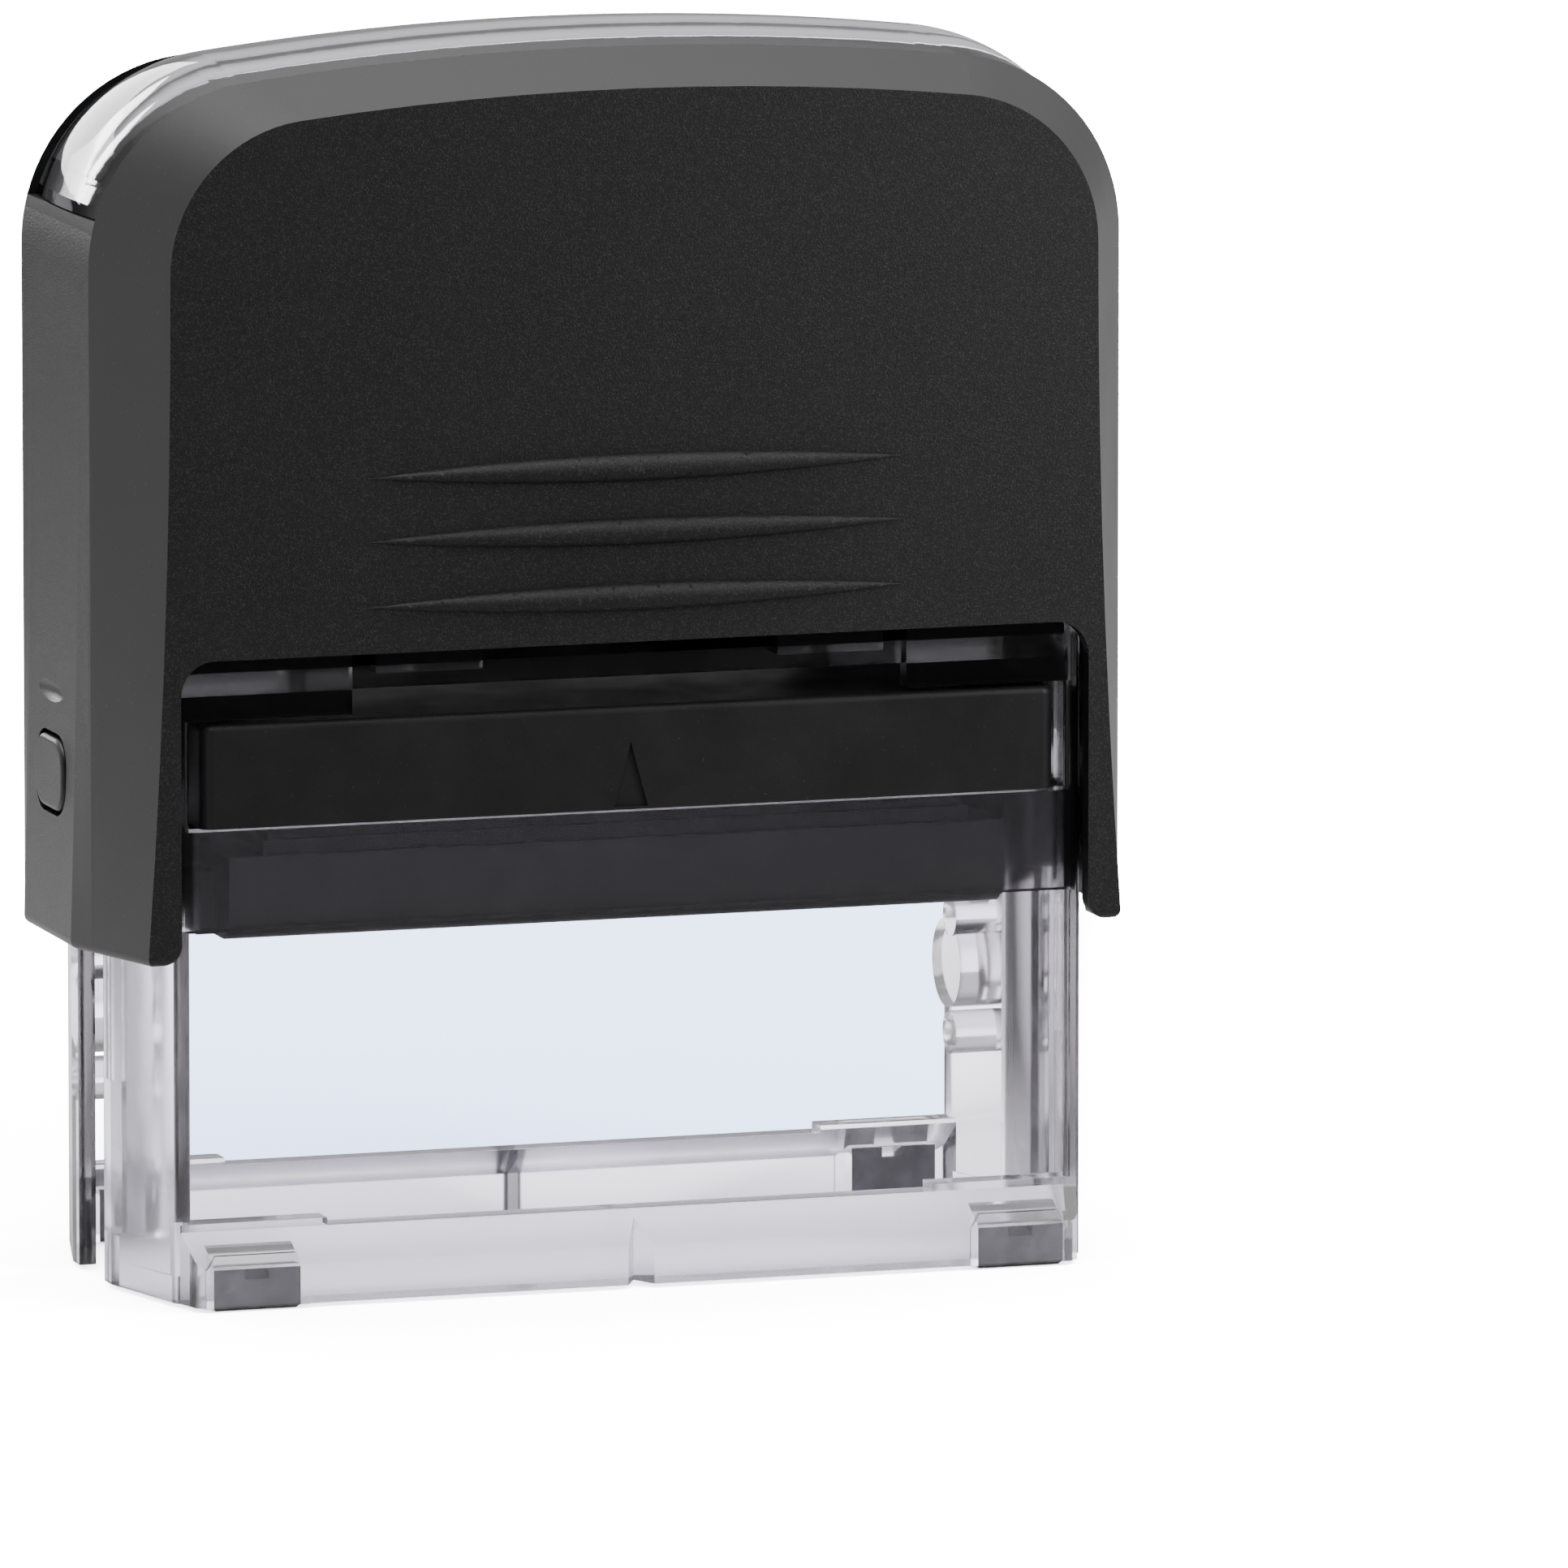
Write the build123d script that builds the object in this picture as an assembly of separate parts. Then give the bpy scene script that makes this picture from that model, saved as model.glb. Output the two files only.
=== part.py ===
from build123d import *
import math
import os

# Self-inking stamp, in millimetres. +X is to the right, -Y to the front, +Z up.
# The origin is the centre of the footprint on the surface that the stamp stands on.
# The casing is up, as the return springs hold it, with the text plate turned up to the pad.

# ---- base: the clear frame that stands on the paper ----
FEET_STANDOFF = 0.3              # the rubber feet hold the frame off the surface
BASE_TOP = 43.3
BASE_SIDE_X = 33.15              # outer face at the middle of each side
BASE_SIDE_HALF_Y = 4.6           # half length of that middle face, before the sides turn in
BASE_CORNER_X = 31.05            # where the turned-in sides meet the front and rear
BASE_FRONT_Y = 12.9
BASE_WALL = 1.15
SILL_CORNER_X = 30.2
SILL_Y = 15.2                    # the sill stands out under the front and the rear window
SILL_NOSE_TOP = 2.9
SILL_TOP = 5.0
SILL_SHOULDER_TOP = 5.5          # the ends of the sill are a step higher
SILL_SHOULDER_X = 20.8
SILL_INNER_Y = 11.0
BAR_Z = (24.75, 31.4)            # cross bar above the window, under the pad
BAR_INNER_Y = 11.3
DECK_Z = (40.2, 41.7)
FRONT_MARK = (1.85, 1.8)         # width and depth of the V groove that marks the centre of the print
REAR_MARK = (0.9, 2.1)
SLOT_HALF_Y = 3.0                # vertical slot in each side for the trunnion
SLOT_TOP = 37.3                  # the slot is open below, so each end of the frame is two legs
SIDE_FOOT_TOP = 1.9              # thicker rim at the foot of each leg
SILL_END_ROUND = 0.9
WALL_END_ROUND = 0.45            # on the vertical edges beside the windows

# ---- fittings inside the frame ----
COLUMN = (30.2, -4.2, 1.6)       # centre x, centre y and radius of the guide rib beside each slot
COLUMN_Z = (3.5, 31.0)
COLUMN_WEB = (1.6, 2.0)          # thickness of its web to the wall, and of the web behind its foot
COLUMN_STEP_Z = 13.7            # the foot of the rib is that thick up to here
BOSSES = (                       # radius, y, z and inner end of the cam bosses on each side
    (3.0, 6.6, 16.9, 28.2),
    (1.4, 5.3, 20.3, 28.0),
    (1.45, 5.3, 12.4, 28.0),
)
SPRING_SEAT = (2.3, 3.8, 4.9)    # radii of the peg inside the spring and of the ring outside it
SPRING_SEAT_HEIGHT = 1.4
SKIRT_DEPTH = 1.3                # short walls on the deck that show above the pad
OUTER_SKIRT_X = (19.0, 30.4)
INNER_SKIRT_X = (10.1, 17.4)
OUTER_SKIRT_FOOT = 38.7
INNER_SKIRT_FOOT = 41.3

# ---- travel ----
PRESS_TRAVEL = 22.0
FACE_OFFSET = 5.3                # from the trunnion axis to the printing face
AXIS_Z = PRESS_TRAVEL + FACE_OFFSET      # trunnion axis with the casing up

# ---- feet ----
FOOT_X = (23.3, 29.2)
FOOT_Y = (12.4, 14.95)
FOOT_TOP = 3.65
FOOT_OUTER_TOP = 2.8             # the top slopes down towards the outside, under the slope of the sill
FOOT_SLOPE_Y = 12.9              # the slope starts here
FOOT_NOTCH = (1.6, 0.7)          # width and depth of the notch in the top of each foot
POCKET_X = (22.7, 29.8)
POCKET_Y = 15.4
POCKET_TOP = 3.65

# ---- casing ----
PANEL_Y = 14.55                  # flat front and rear panels
PANEL_HALF_X = 31.7              # panel half width at the shoulder
PANEL_FOOT_X = 33.4              # and at the bottom of the legs
PANEL_CROWN_Z = 79.3
PANEL_CORNER = 10.0
EDGE_Y = 8.0                     # where the bevel round the panel meets the top cover
SIDE_HALF_Y = 5.6                # half depth of the flat side faces
SIDE_HALF_X = 35.35
SIDE_FOOT_X = 36.1
EDGE_CROWN_Z = 81.3
EDGE_CORNER = 12.0
CROWN_RADIUS = 204.0             # long arc across the top
CASING_BOTTOM = 22.9
CASING_WALL_Y = 1.3
CAVITY_CORNER_X = 31.3
CAVITY_SIDE_X = 34.2
CAVITY_SIDE_HALF_Y = 5.0
CAVITY_SHOULDER_Z = 69.0
ROOF_HALF_X = 31.2
ROOF_CROWN_Z = 77.3
ROOF_CORNER = 8.6
ROOF_HALF_Y = 12.7
ARCH_HALF_X = 31.1
ARCH_TOP = 42.87
ARCH_CORNER = 2.3
LEG_CORNER = 1.4
LEG_EDGE_ROUND = 0.6             # round the outside of the bottom edge
RIB_Z = (54.4, 50.2, 45.9)       # grip ribs on the panels
RIB_HALF_LENGTH = 18.5
RIB_RADIUS = 0.9

NAIL_RECESS = (36.1, 0.3, 39.2)  # centre of the small recess above each button
NAIL_RECESS_SIZE = (4.1, 0.85)   # half length and radius
BEARING_BOSS = (4.0, 34.8)       # radius, and how far out it reaches in the casing wall
BEARING_END_X = 35.3
ROOF_PEG_LENGTH = 3.0            # pegs under the roof that hold the tops of the springs

# ---- top cover and card ----
COVER_HALF_X = 34.8
COVER_CROWN_Z = 81.1
COVER_BULGE = 1.2                # the cover is crowned from front to rear
COVER_THICKNESS = 1.4
COVER_END_Z = 71.0
COVER_GAP = 0.1                  # play between the casing and the cover
LIP_TOP = 72.6
CARD_THICKNESS = 0.3

# ---- lock buttons ----
BUTTON_Z = 33.8
BUTTON_SIZE = (6.6, 4.8, 1.9)    # length, height and corner radius
BUTTON_GAP = 0.3
BUTTON_OUTER_X = 36.0
BUTTON_INNER_X = 33.45
PEG_SIZE = (4.6, 3.2)

# ---- ink pad cartridge ----
TRAY_HALF_X = 29.25
TRAY_HALF_Y = 13.0
TRAY_Z = (31.55, 38.4)
TRAY_REAR_RIM = 33.0             # the rear rim is cut away so that it clears the die
PAD_HALF = (27.6, 11.4)
PAD_Z = (33.6, 37.2)
PAD_PLAY = 0.2
CLOTH_THICKNESS = 0.4
ARROW_HALF_WIDTH = 1.15          # sunk arrow in the middle of the tray's front
ARROW_TIP_Z = 36.0
ARROW_DEPTH = 0.25

# ---- turning text-plate holder ----
HOLDER_HALF_X = 26.6
HOLDER_HALF_Y = 9.7
HOLDER_DEPTH = 3.7               # from the axis to the back of the holder
HOLDER_FACE = 1.9                # from the axis to the seat of the text plate
HOLDER_HOLLOWS = (1.0, 23.5, 7.6, 0.8)   # x from and to, half width and depth of the hollows in its back
CHEEK_END_X = 27.8               # a cheek at the front of each end closes the gap to the side wall
CHEEK_Y = (-6.5, -2.5)
CHEEK_TOP = 0.5                  # above the axis
JOURNAL_RADIUS = 2.85
PIN_RADIUS = 1.95
BEARING_RADIUS = 2.0
JOURNAL_END_X = 33.2
PIN_END_X = 35.2
BEARING_BOSS_X = 33.35
TEXT_PLATE_HALF = (24.2, 9.3)
TEXT_PLATE_THICKNESS = 1.0
CUSHION_HALF = (23.8, 9.1)
CUSHION_THICKNESS = 0.5
RUBBER_HALF = (23.5, 9.0)
RUBBER_BASE = 1.3
RELIEF = 0.6
RELIEF_RIM = (0.5, 1.1)          # outer and inner edge of the raised frame, in from the sheet's edge
RELIEF_BARS = ((4.3, 16.0), (0.0, 19.0), (-4.3, 13.0))   # y and half length of the plain bars
RELIEF_BAR_HALF_Y = 1.0

# ---- return springs ----
SPRING_X = 18.0
SPRING_RADIUS = 3.1              # to the middle of the wire
SPRING_WIRE = 0.4
SPRING_TURNS = 11

BOTH_SIDES = (("left", -1), ("right", 1))
BOTH_FACES = (("front", -1), ("rear", 1))


def block(x0, x1, y0, y1, z0, z1):
    """A box given by its lowest and highest corner."""
    size = (x1 - x0, y1 - y0, z1 - z0)
    return Pos(x0, y0, z0) * Box(*size, align=(Align.MIN, Align.MIN, Align.MIN))


def prism(points, z0, z1):
    """A plan outline made solid between two heights."""
    outline = make_face(Polyline(*points, close=True))
    return Pos(0, 0, z0) * extrude(outline, z1 - z0)


def span(sign, inner, outer):
    """The lower and upper coordinate of a stretch on the negative or the positive side."""
    return sorted((sign * inner, sign * outer))


def x_cylinder(radius, x0, x1, y, z):
    """A round bar along X."""
    return Pos((x0 + x1) / 2, y, z) * Rot(0, 90, 0) * Cylinder(radius, abs(x1 - x0))


def waisted_plan(side_x, side_half_y, corner_x, corner_y):
    """Plan with flat sides in the middle that turn in towards the front and rear."""
    quarter = [(corner_x, -corner_y), (side_x, -side_half_y), (side_x, side_half_y), (corner_x, corner_y)]
    return quarter + [(-x, y) for x, y in reversed(quarter)]


def footprint(z0, z1):
    """The whole plan of the foot of the frame, with rounded corners at the ends of the sills."""
    outline = waisted_plan(BASE_SIDE_X, BASE_SIDE_HALF_Y, SILL_CORNER_X, SILL_Y)
    plan = make_face(Polyline(*outline, close=True))
    corners = [v for v in plan.vertices() if abs(v.Y) > SILL_Y - 0.1]
    return Pos(0, 0, z0) * extrude(fillet(corners, SILL_END_ROUND), z1 - z0)


def hood_outline(y, foot_x, half_x, crown_z, corner, foot_z):
    """Face at depth y: two legs, round shoulders, and a long arc over the top."""
    crown_centre = crown_z - CROWN_RADIUS
    corner_x = half_x - corner
    corner_z = crown_centre + math.sqrt((CROWN_RADIUS - corner) ** 2 - corner_x ** 2)
    reach = CROWN_RADIUS / (CROWN_RADIUS - corner)
    top_x, top_z = corner_x * reach, crown_centre + (corner_z - crown_centre) * reach
    bend = math.atan2(corner_z - crown_centre, corner_x) / 2
    mid_x, mid_z = corner_x + corner * math.cos(bend), corner_z + corner * math.sin(bend)
    drop = corner_z - foot_z
    flare = foot_x - half_x
    if flare > 0.001:
        leg_radius = (drop ** 2 + flare ** 2) / (2 * flare)
        waist_x = half_x + leg_radius - math.sqrt(leg_radius ** 2 - (drop / 2) ** 2)
    else:
        waist_x = None

    def leg(side):
        foot, shoulder = (side * foot_x, y, foot_z), (side * half_x, y, corner_z)
        if waist_x is None:
            return Line(foot, shoulder)
        return ThreePointArc(foot, (side * waist_x, y, corner_z - drop / 2), shoulder)

    def shoulder(side):
        middle = (side * mid_x, y, mid_z)
        return ThreePointArc((side * half_x, y, corner_z), middle, (side * top_x, y, top_z))

    crown = ThreePointArc((-top_x, y, top_z), (0, y, crown_z), (top_x, y, top_z))
    foot_line = Line((foot_x, y, foot_z), (-foot_x, y, foot_z))
    return make_face(Curve() + [leg(-1), shoulder(-1), crown, shoulder(1), leg(1), foot_line])


def hood_block(half_y, half_x, crown_z, corner, foot_z):
    """The same outline, made solid from -half_y to half_y."""
    face = hood_outline(-half_y, half_x, half_x, crown_z, corner, foot_z)
    return extrude(face, 2 * half_y, dir=(0, 1, 0))


def spindle(half_length, radius):
    """A pointed, barrel-like bar along X."""
    profile = make_face(Curve() + [
        ThreePointArc((-half_length, 0), (0, radius), (half_length, 0)),
        Line((half_length, 0), (-half_length, 0)),
    ])
    return revolve(profile, Axis.X)


# ------------------------------------------------------------------ base

def sill(face):
    """Low bar under a window, with a sloping top, higher ends and a block round each foot."""
    y = [face * v for v in (SILL_INNER_Y, SILL_Y, SILL_Y, BASE_FRONT_Y, SILL_INNER_Y)]
    z = [FEET_STANDOFF, FEET_STANDOFF, SILL_NOSE_TOP, SILL_TOP, SILL_TOP]
    reach = BASE_SIDE_X
    profile = make_face(Polyline(*[(-reach, a, b) for a, b in zip(y, z)], close=True))
    bar = extrude(profile, 2 * reach, dir=(1, 0, 0))
    for _, side in BOTH_SIDES:
        shoulder_y = sorted((face * SILL_INNER_Y, face * BASE_FRONT_Y))
        bar += block(*span(side, SILL_SHOULDER_X, reach), *shoulder_y, SILL_TOP - 1, SILL_SHOULDER_TOP)
    bar &= footprint(0, SILL_SHOULDER_TOP + 1)
    for _, side in BOTH_SIDES:
        pocket = block(*span(side, *POCKET_X), *span(face, SILL_Y - 1.5, POCKET_Y), FEET_STANDOFF, POCKET_TOP)
        outer = pocket.faces().sort_by(Axis.Y)[0 if face < 0 else -1]
        pocket = chamfer(outer.edges().sort_by(Axis.Z)[-1], 0.6)
        bar += chamfer(pocket.faces().sort_by(Axis.Z)[-1].edges().filter_by(Axis.Y), 0.8)
    return bar


def foot_shape(x0, x1, face, drop=0.0):
    """The foot between two x positions, with its top lower by drop."""
    inner_y, outer_y = FOOT_Y
    top = FOOT_TOP - drop
    outer_top = FOOT_OUTER_TOP - drop
    corners = [(inner_y, 0), (outer_y, 0), (outer_y, outer_top), (FOOT_SLOPE_Y, top), (inner_y, top)]
    profile = make_face(Polyline(*[(x0, face * y, z) for y, z in corners], close=True))
    return extrude(profile, x1 - x0, dir=(1, 0, 0))


def sill_cuts(face):
    """Pockets for the two feet, and the V groove at the centre."""
    cuts = []
    for _, side in BOTH_SIDES:
        cuts.append(foot_shape(*span(side, *FOOT_X), face))
    width, depth = FRONT_MARK if face < 0 else REAR_MARK
    mouth = SILL_Y + 0.05
    groove = [(-width / 2, face * mouth), (width / 2, face * mouth), (0, face * (mouth - depth))]
    cuts.append(prism(groove, 0, SILL_TOP + 1))
    return cuts


def side_fittings(side):
    """On the inner face of a side wall: a rounded guide rib and the three cam bosses."""
    column_x, column_y, radius = COLUMN
    bottom, top = COLUMN_Z
    web, foot_web = COLUMN_WEB
    column = Cylinder(radius, top - bottom, align=(Align.CENTER, Align.CENTER, Align.MIN))
    fittings = Pos(side * column_x, column_y, bottom) * column
    web_x = span(side, column_x, BASE_SIDE_X)
    fittings += block(*web_x, column_y - web / 2, column_y + web / 2, bottom, top)
    fittings += block(*web_x, column_y, column_y + foot_web, bottom, COLUMN_STEP_Z)
    for boss_radius, boss_y, boss_z, inner_x in BOSSES:
        fittings += x_cylinder(boss_radius, side * inner_x, side * BASE_SIDE_X, boss_y, boss_z)
    half_wall = BASE_WALL / 2
    middle = waisted_plan(BASE_SIDE_X - half_wall, BASE_SIDE_HALF_Y, BASE_CORNER_X - half_wall, BASE_FRONT_Y)
    return fittings & prism(middle, 0, BASE_TOP)


def deck():
    """Top plate with the spring seats and the short skirts that show above the pad."""
    inset = 0.6
    half_y = BASE_FRONT_Y - SKIRT_DEPTH + 0.1
    inner = waisted_plan(BASE_SIDE_X - inset, BASE_SIDE_HALF_Y, BASE_CORNER_X - inset, half_y)
    plate = prism(inner, *DECK_Z)
    peg_radius, ring_inner, ring_outer = SPRING_SEAT
    seat = Cylinder(ring_outer, SPRING_SEAT_HEIGHT) - Cylinder(ring_inner, SPRING_SEAT_HEIGHT)
    seat += Cylinder(peg_radius, SPRING_SEAT_HEIGHT)
    for _, side in BOTH_SIDES:
        plate += Pos(side * SPRING_X, 0, DECK_Z[1] + SPRING_SEAT_HEIGHT / 2) * seat
        for _, face in BOTH_FACES:
            skirt_y = span(face, BASE_FRONT_Y - SKIRT_DEPTH, BASE_FRONT_Y)
            plate += block(*span(side, *OUTER_SKIRT_X), *skirt_y, OUTER_SKIRT_FOOT, BASE_TOP)
            plate += block(*span(side, *INNER_SKIRT_X), *skirt_y, INNER_SKIRT_FOOT, BASE_TOP)
    return plate


def base_frame():
    outer = waisted_plan(BASE_SIDE_X, BASE_SIDE_HALF_Y, BASE_CORNER_X, BASE_FRONT_Y)
    inner = waisted_plan(BASE_SIDE_X - BASE_WALL, BASE_SIDE_HALF_Y, BASE_CORNER_X - BASE_WALL, BASE_FRONT_Y)
    well = waisted_plan(BASE_SIDE_X - BASE_WALL, BASE_SIDE_HALF_Y, BASE_CORNER_X - 0.9, SILL_INNER_Y)
    frame = prism(outer, FEET_STANDOFF, BASE_TOP) - prism(inner, 0, BASE_TOP + 1)
    wall_ends = [e for e in frame.edges().filter_by(Axis.Z) if abs(e.center().Y) > BASE_FRONT_Y - 0.1]
    frame = fillet(wall_ends, WALL_END_ROUND)
    frame += footprint(FEET_STANDOFF, SIDE_FOOT_TOP) - prism(well, 0, SIDE_FOOT_TOP + 1)
    for _, face in BOTH_FACES:
        bar_half_x = BASE_CORNER_X - 0.6
        frame += sill(face)
        frame += block(-bar_half_x, bar_half_x, *span(face, BAR_INNER_Y, BASE_FRONT_Y), *BAR_Z)
    for _, side in BOTH_SIDES:
        frame += side_fittings(side)
    frame += deck()
    frame -= block(-40, 40, -SLOT_HALF_Y, SLOT_HALF_Y, 0, SLOT_TOP)
    for _, face in BOTH_FACES:
        for cut in sill_cuts(face):
            frame -= cut
    return frame


def foot(side, face):
    """Rubber block pressed into its pocket, a little proud below."""
    pad = foot_shape(*span(side, *FOOT_X), face)
    pad = chamfer(pad.faces().sort_by(Axis.Z)[0].edges(), 0.2)
    width, depth = FOOT_NOTCH
    centre_x = side * (FOOT_X[0] + FOOT_X[1]) / 2
    notch_x = (centre_x - width / 2, centre_x + width / 2)
    notch = foot_shape(*notch_x, face) - foot_shape(*notch_x, face, depth)
    return pad - notch


def return_spring(side):
    """Round-wire compression spring between the deck and the casing roof."""
    outer_x = SPRING_X + SPRING_RADIUS + SPRING_WIRE
    z0 = DECK_Z[1] + SPRING_WIRE + 0.05
    z1 = ROOF_CROWN_Z - outer_x ** 2 / (2 * CROWN_RADIUS) - SPRING_WIRE - 0.15
    path = Helix(pitch=(z1 - z0) / SPRING_TURNS, height=z1 - z0, radius=SPRING_RADIUS)
    start = path @ 0
    section = Plane(origin=start, z_dir=path % 0) * Circle(SPRING_WIRE)
    return Pos(side * SPRING_X, 0, z0) * sweep(section, path=path, is_frenet=True)


# ------------------------------------------------------------------ ink pad cartridge

def ink_pad_tray():
    tray = block(-TRAY_HALF_X, TRAY_HALF_X, -TRAY_HALF_Y, TRAY_HALF_Y, *TRAY_Z)
    tray = fillet(tray.edges().filter_by(Axis.Z), 0.8)
    tray = fillet(tray.faces().sort_by(Axis.Z)[-1].edges(), 0.5)
    well_x, well_y = PAD_HALF[0] + PAD_PLAY, PAD_HALF[1] + PAD_PLAY
    tray -= block(-well_x, well_x, -well_y, well_y, 0, PAD_Z[1])
    arrow_foot = TRAY_Z[0] + 0.2
    for _, face in BOTH_FACES:
        front = face * TRAY_HALF_Y
        left, right = (-ARROW_HALF_WIDTH, front, arrow_foot), (ARROW_HALF_WIDTH, front, arrow_foot)
        arrow = make_face(Polyline(left, right, (0, front, ARROW_TIP_Z), close=True))
        tray -= extrude(arrow, ARROW_DEPTH, dir=(0, -face, 0))
    clear_x = TEXT_PLATE_HALF[0] + 0.4
    return tray - block(-clear_x, clear_x, 0, 20, 0, TRAY_REAR_RIM)


def ink_pad():
    return block(-PAD_HALF[0], PAD_HALF[0], -PAD_HALF[1], PAD_HALF[1], *PAD_Z)


def ink_pad_cloth():
    x, y = PAD_HALF
    return block(-x, x, -y, y, PAD_Z[0] - CLOTH_THICKNESS, PAD_Z[0])


# ------------------------------------------------------------------ casing

def casing_shell():
    """Outer skin: flat panels, bevels round them, narrow sides that widen to the shoulders."""
    sections = []
    for face, order in ((-1, 1), (1, -1)):
        panel = hood_outline(face * PANEL_Y, PANEL_FOOT_X, PANEL_HALF_X, PANEL_CROWN_Z, PANEL_CORNER,
                             CASING_BOTTOM)
        edge = hood_outline(face * EDGE_Y, SIDE_HALF_X, SIDE_HALF_X, EDGE_CROWN_Z, EDGE_CORNER, CASING_BOTTOM)
        flank = hood_outline(face * SIDE_HALF_Y, SIDE_FOOT_X, SIDE_HALF_X, EDGE_CROWN_Z, EDGE_CORNER,
                             CASING_BOTTOM)
        sections += [panel, edge, flank][::order]
    shell = loft(sections, ruled=True)
    bottom = shell.faces().sort_by(Axis.Z)[0]
    return fillet(bottom.edges(), LEG_EDGE_ROUND)


def casing_cavity():
    plan = waisted_plan(CAVITY_SIDE_X, CAVITY_SIDE_HALF_Y, CAVITY_CORNER_X, PANEL_Y - CASING_WALL_Y)
    lower = prism(plan, 0, CAVITY_SHOULDER_Z)
    upper = hood_block(ROOF_HALF_Y, ROOF_HALF_X, ROOF_CROWN_Z, ROOF_CORNER, CAVITY_SHOULDER_Z - 5)
    return lower + upper


def cover_channel():
    """Recess over the top and down both shoulders for the card and its cover."""
    floor = COVER_THICKNESS + CARD_THICKNESS + COVER_GAP
    keep = hood_block(EDGE_Y + 1, COVER_HALF_X - floor, COVER_CROWN_Z - floor, EDGE_CORNER - floor, 60)
    return block(-40, 40, -EDGE_Y, EDGE_Y, COVER_END_Z, 90) - keep


def arch():
    """Opening between the legs, right through, with rounded corners above and below."""
    opening = block(-ARCH_HALF_X, ARCH_HALF_X, -20, 20, 0, ARCH_TOP)
    opening = fillet(opening.edges().filter_by(Axis.Y).group_by(Axis.Z)[-1], ARCH_CORNER)
    for _, side in BOTH_SIDES:
        lead_x = span(side, ARCH_HALF_X - 0.5, ARCH_HALF_X + LEG_CORNER)
        lead_in = block(*lead_x, -20, 20, CASING_BOTTOM - 1, CASING_BOTTOM + LEG_CORNER)
        round_bar = Pos(side * (ARCH_HALF_X + LEG_CORNER), 0, CASING_BOTTOM + LEG_CORNER)
        opening += lead_in - round_bar * Rot(90, 0, 0) * Cylinder(LEG_CORNER, 50)
    return opening


def button_outline(grow):
    length, height, corner = BUTTON_SIZE
    return RectangleRounded(length + 2 * grow, height + 2 * grow, corner + grow)


def along_side(side, face, x0, x1, z):
    """A face drawn flat on a side of the stamp, made solid from x0 out to x1."""
    plane = Plane(origin=(side * x0, 0, z), x_dir=(0, side, 0), z_dir=(side, 0, 0))
    return extrude(plane * face, x1 - x0)


def outer_casing():
    casing = casing_shell() - casing_cavity()
    for _, side in BOTH_SIDES:
        boss_radius, boss_end_x = BEARING_BOSS
        casing += x_cylinder(boss_radius, side * BEARING_BOSS_X, side * boss_end_x, 0, AXIS_Z)
    casing -= arch()
    casing -= cover_channel()
    for _, face in BOTH_FACES:
        for z in RIB_Z:
            rib = spindle(RIB_HALF_LENGTH, RIB_RADIUS)
            outer_half = block(-20, 20, *span(face, PANEL_Y - 0.2, 20), 40, 60)
            casing += (Pos(0, face * PANEL_Y, z) * rib) & outer_half
    for _, side in BOTH_SIDES:
        casing -= x_cylinder(BEARING_RADIUS, side * 33.0, side * BEARING_END_X, 0, AXIS_Z)
        casing -= along_side(side, button_outline(BUTTON_GAP), 33.0, 40.0, BUTTON_Z)
        recess_x, recess_y, recess_z = NAIL_RECESS
        casing -= Pos(side * recess_x, recess_y, recess_z) * Rot(0, 0, 90) * spindle(*NAIL_RECESS_SIZE)
        roof = ROOF_CROWN_Z - SPRING_X ** 2 / (2 * CROWN_RADIUS)
        casing += Pos(side * SPRING_X, 0, roof - 0.6) * Cylinder(SPRING_SEAT[0], ROOF_PEG_LENGTH)
    return casing


def lock_button(side):
    """Thumb button flush in the side, with a peg that enters the slot of the base when pushed."""
    head = along_side(side, button_outline(0), 34.9, BUTTON_OUTER_X, BUTTON_Z)
    rim = head.faces().sort_by(Axis.X)[0 if side < 0 else -1].edges()
    head = fillet(rim, 0.35)
    peg = along_side(side, Rectangle(*PEG_SIZE), BUTTON_INNER_X, 35.0, BUTTON_Z)
    return head + peg


def index_card():
    cover_inner = COVER_THICKNESS + COVER_GAP / 2
    floor = cover_inner + CARD_THICKNESS
    half_y = EDGE_Y - 0.3
    outer = hood_block(half_y, COVER_HALF_X - cover_inner, COVER_CROWN_Z - cover_inner,
                       EDGE_CORNER - cover_inner, 60)
    inner = hood_block(half_y + 1, COVER_HALF_X - floor, COVER_CROWN_Z - floor, EDGE_CORNER - floor, 50)
    return (outer - inner) & block(-40, 40, -EDGE_Y, EDGE_Y, LIP_TOP + 0.2, 90)


def index_window():
    """Clear cover over the card, crowned from front to rear, with a thick lip at each end."""
    half_y = EDGE_Y - COVER_GAP
    sections = []
    for y, bulge in ((-half_y, 0), (0, COVER_BULGE), (half_y, 0)):
        sections.append(hood_outline(y, COVER_HALF_X + bulge / 3, COVER_HALF_X + bulge / 3,
                                     COVER_CROWN_Z + bulge, EDGE_CORNER + bulge / 2, 60))
    outer = loft(sections)
    inset = COVER_THICKNESS
    lip = COVER_THICKNESS + CARD_THICKNESS
    inner = hood_block(EDGE_Y + 1, COVER_HALF_X - inset, COVER_CROWN_Z - inset, EDGE_CORNER - inset, 50)
    lip_inner = hood_block(EDGE_Y + 1, COVER_HALF_X - lip, COVER_CROWN_Z - lip, EDGE_CORNER - lip, 50)
    ends = inner & block(-40, 40, -20, 20, 40, LIP_TOP)
    cover = outer - (inner - ends) - (lip_inner & ends)
    return cover & block(-40, 40, -20, 20, COVER_END_Z + COVER_GAP, 90)


# ------------------------------------------------------------------ turning holder

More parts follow.
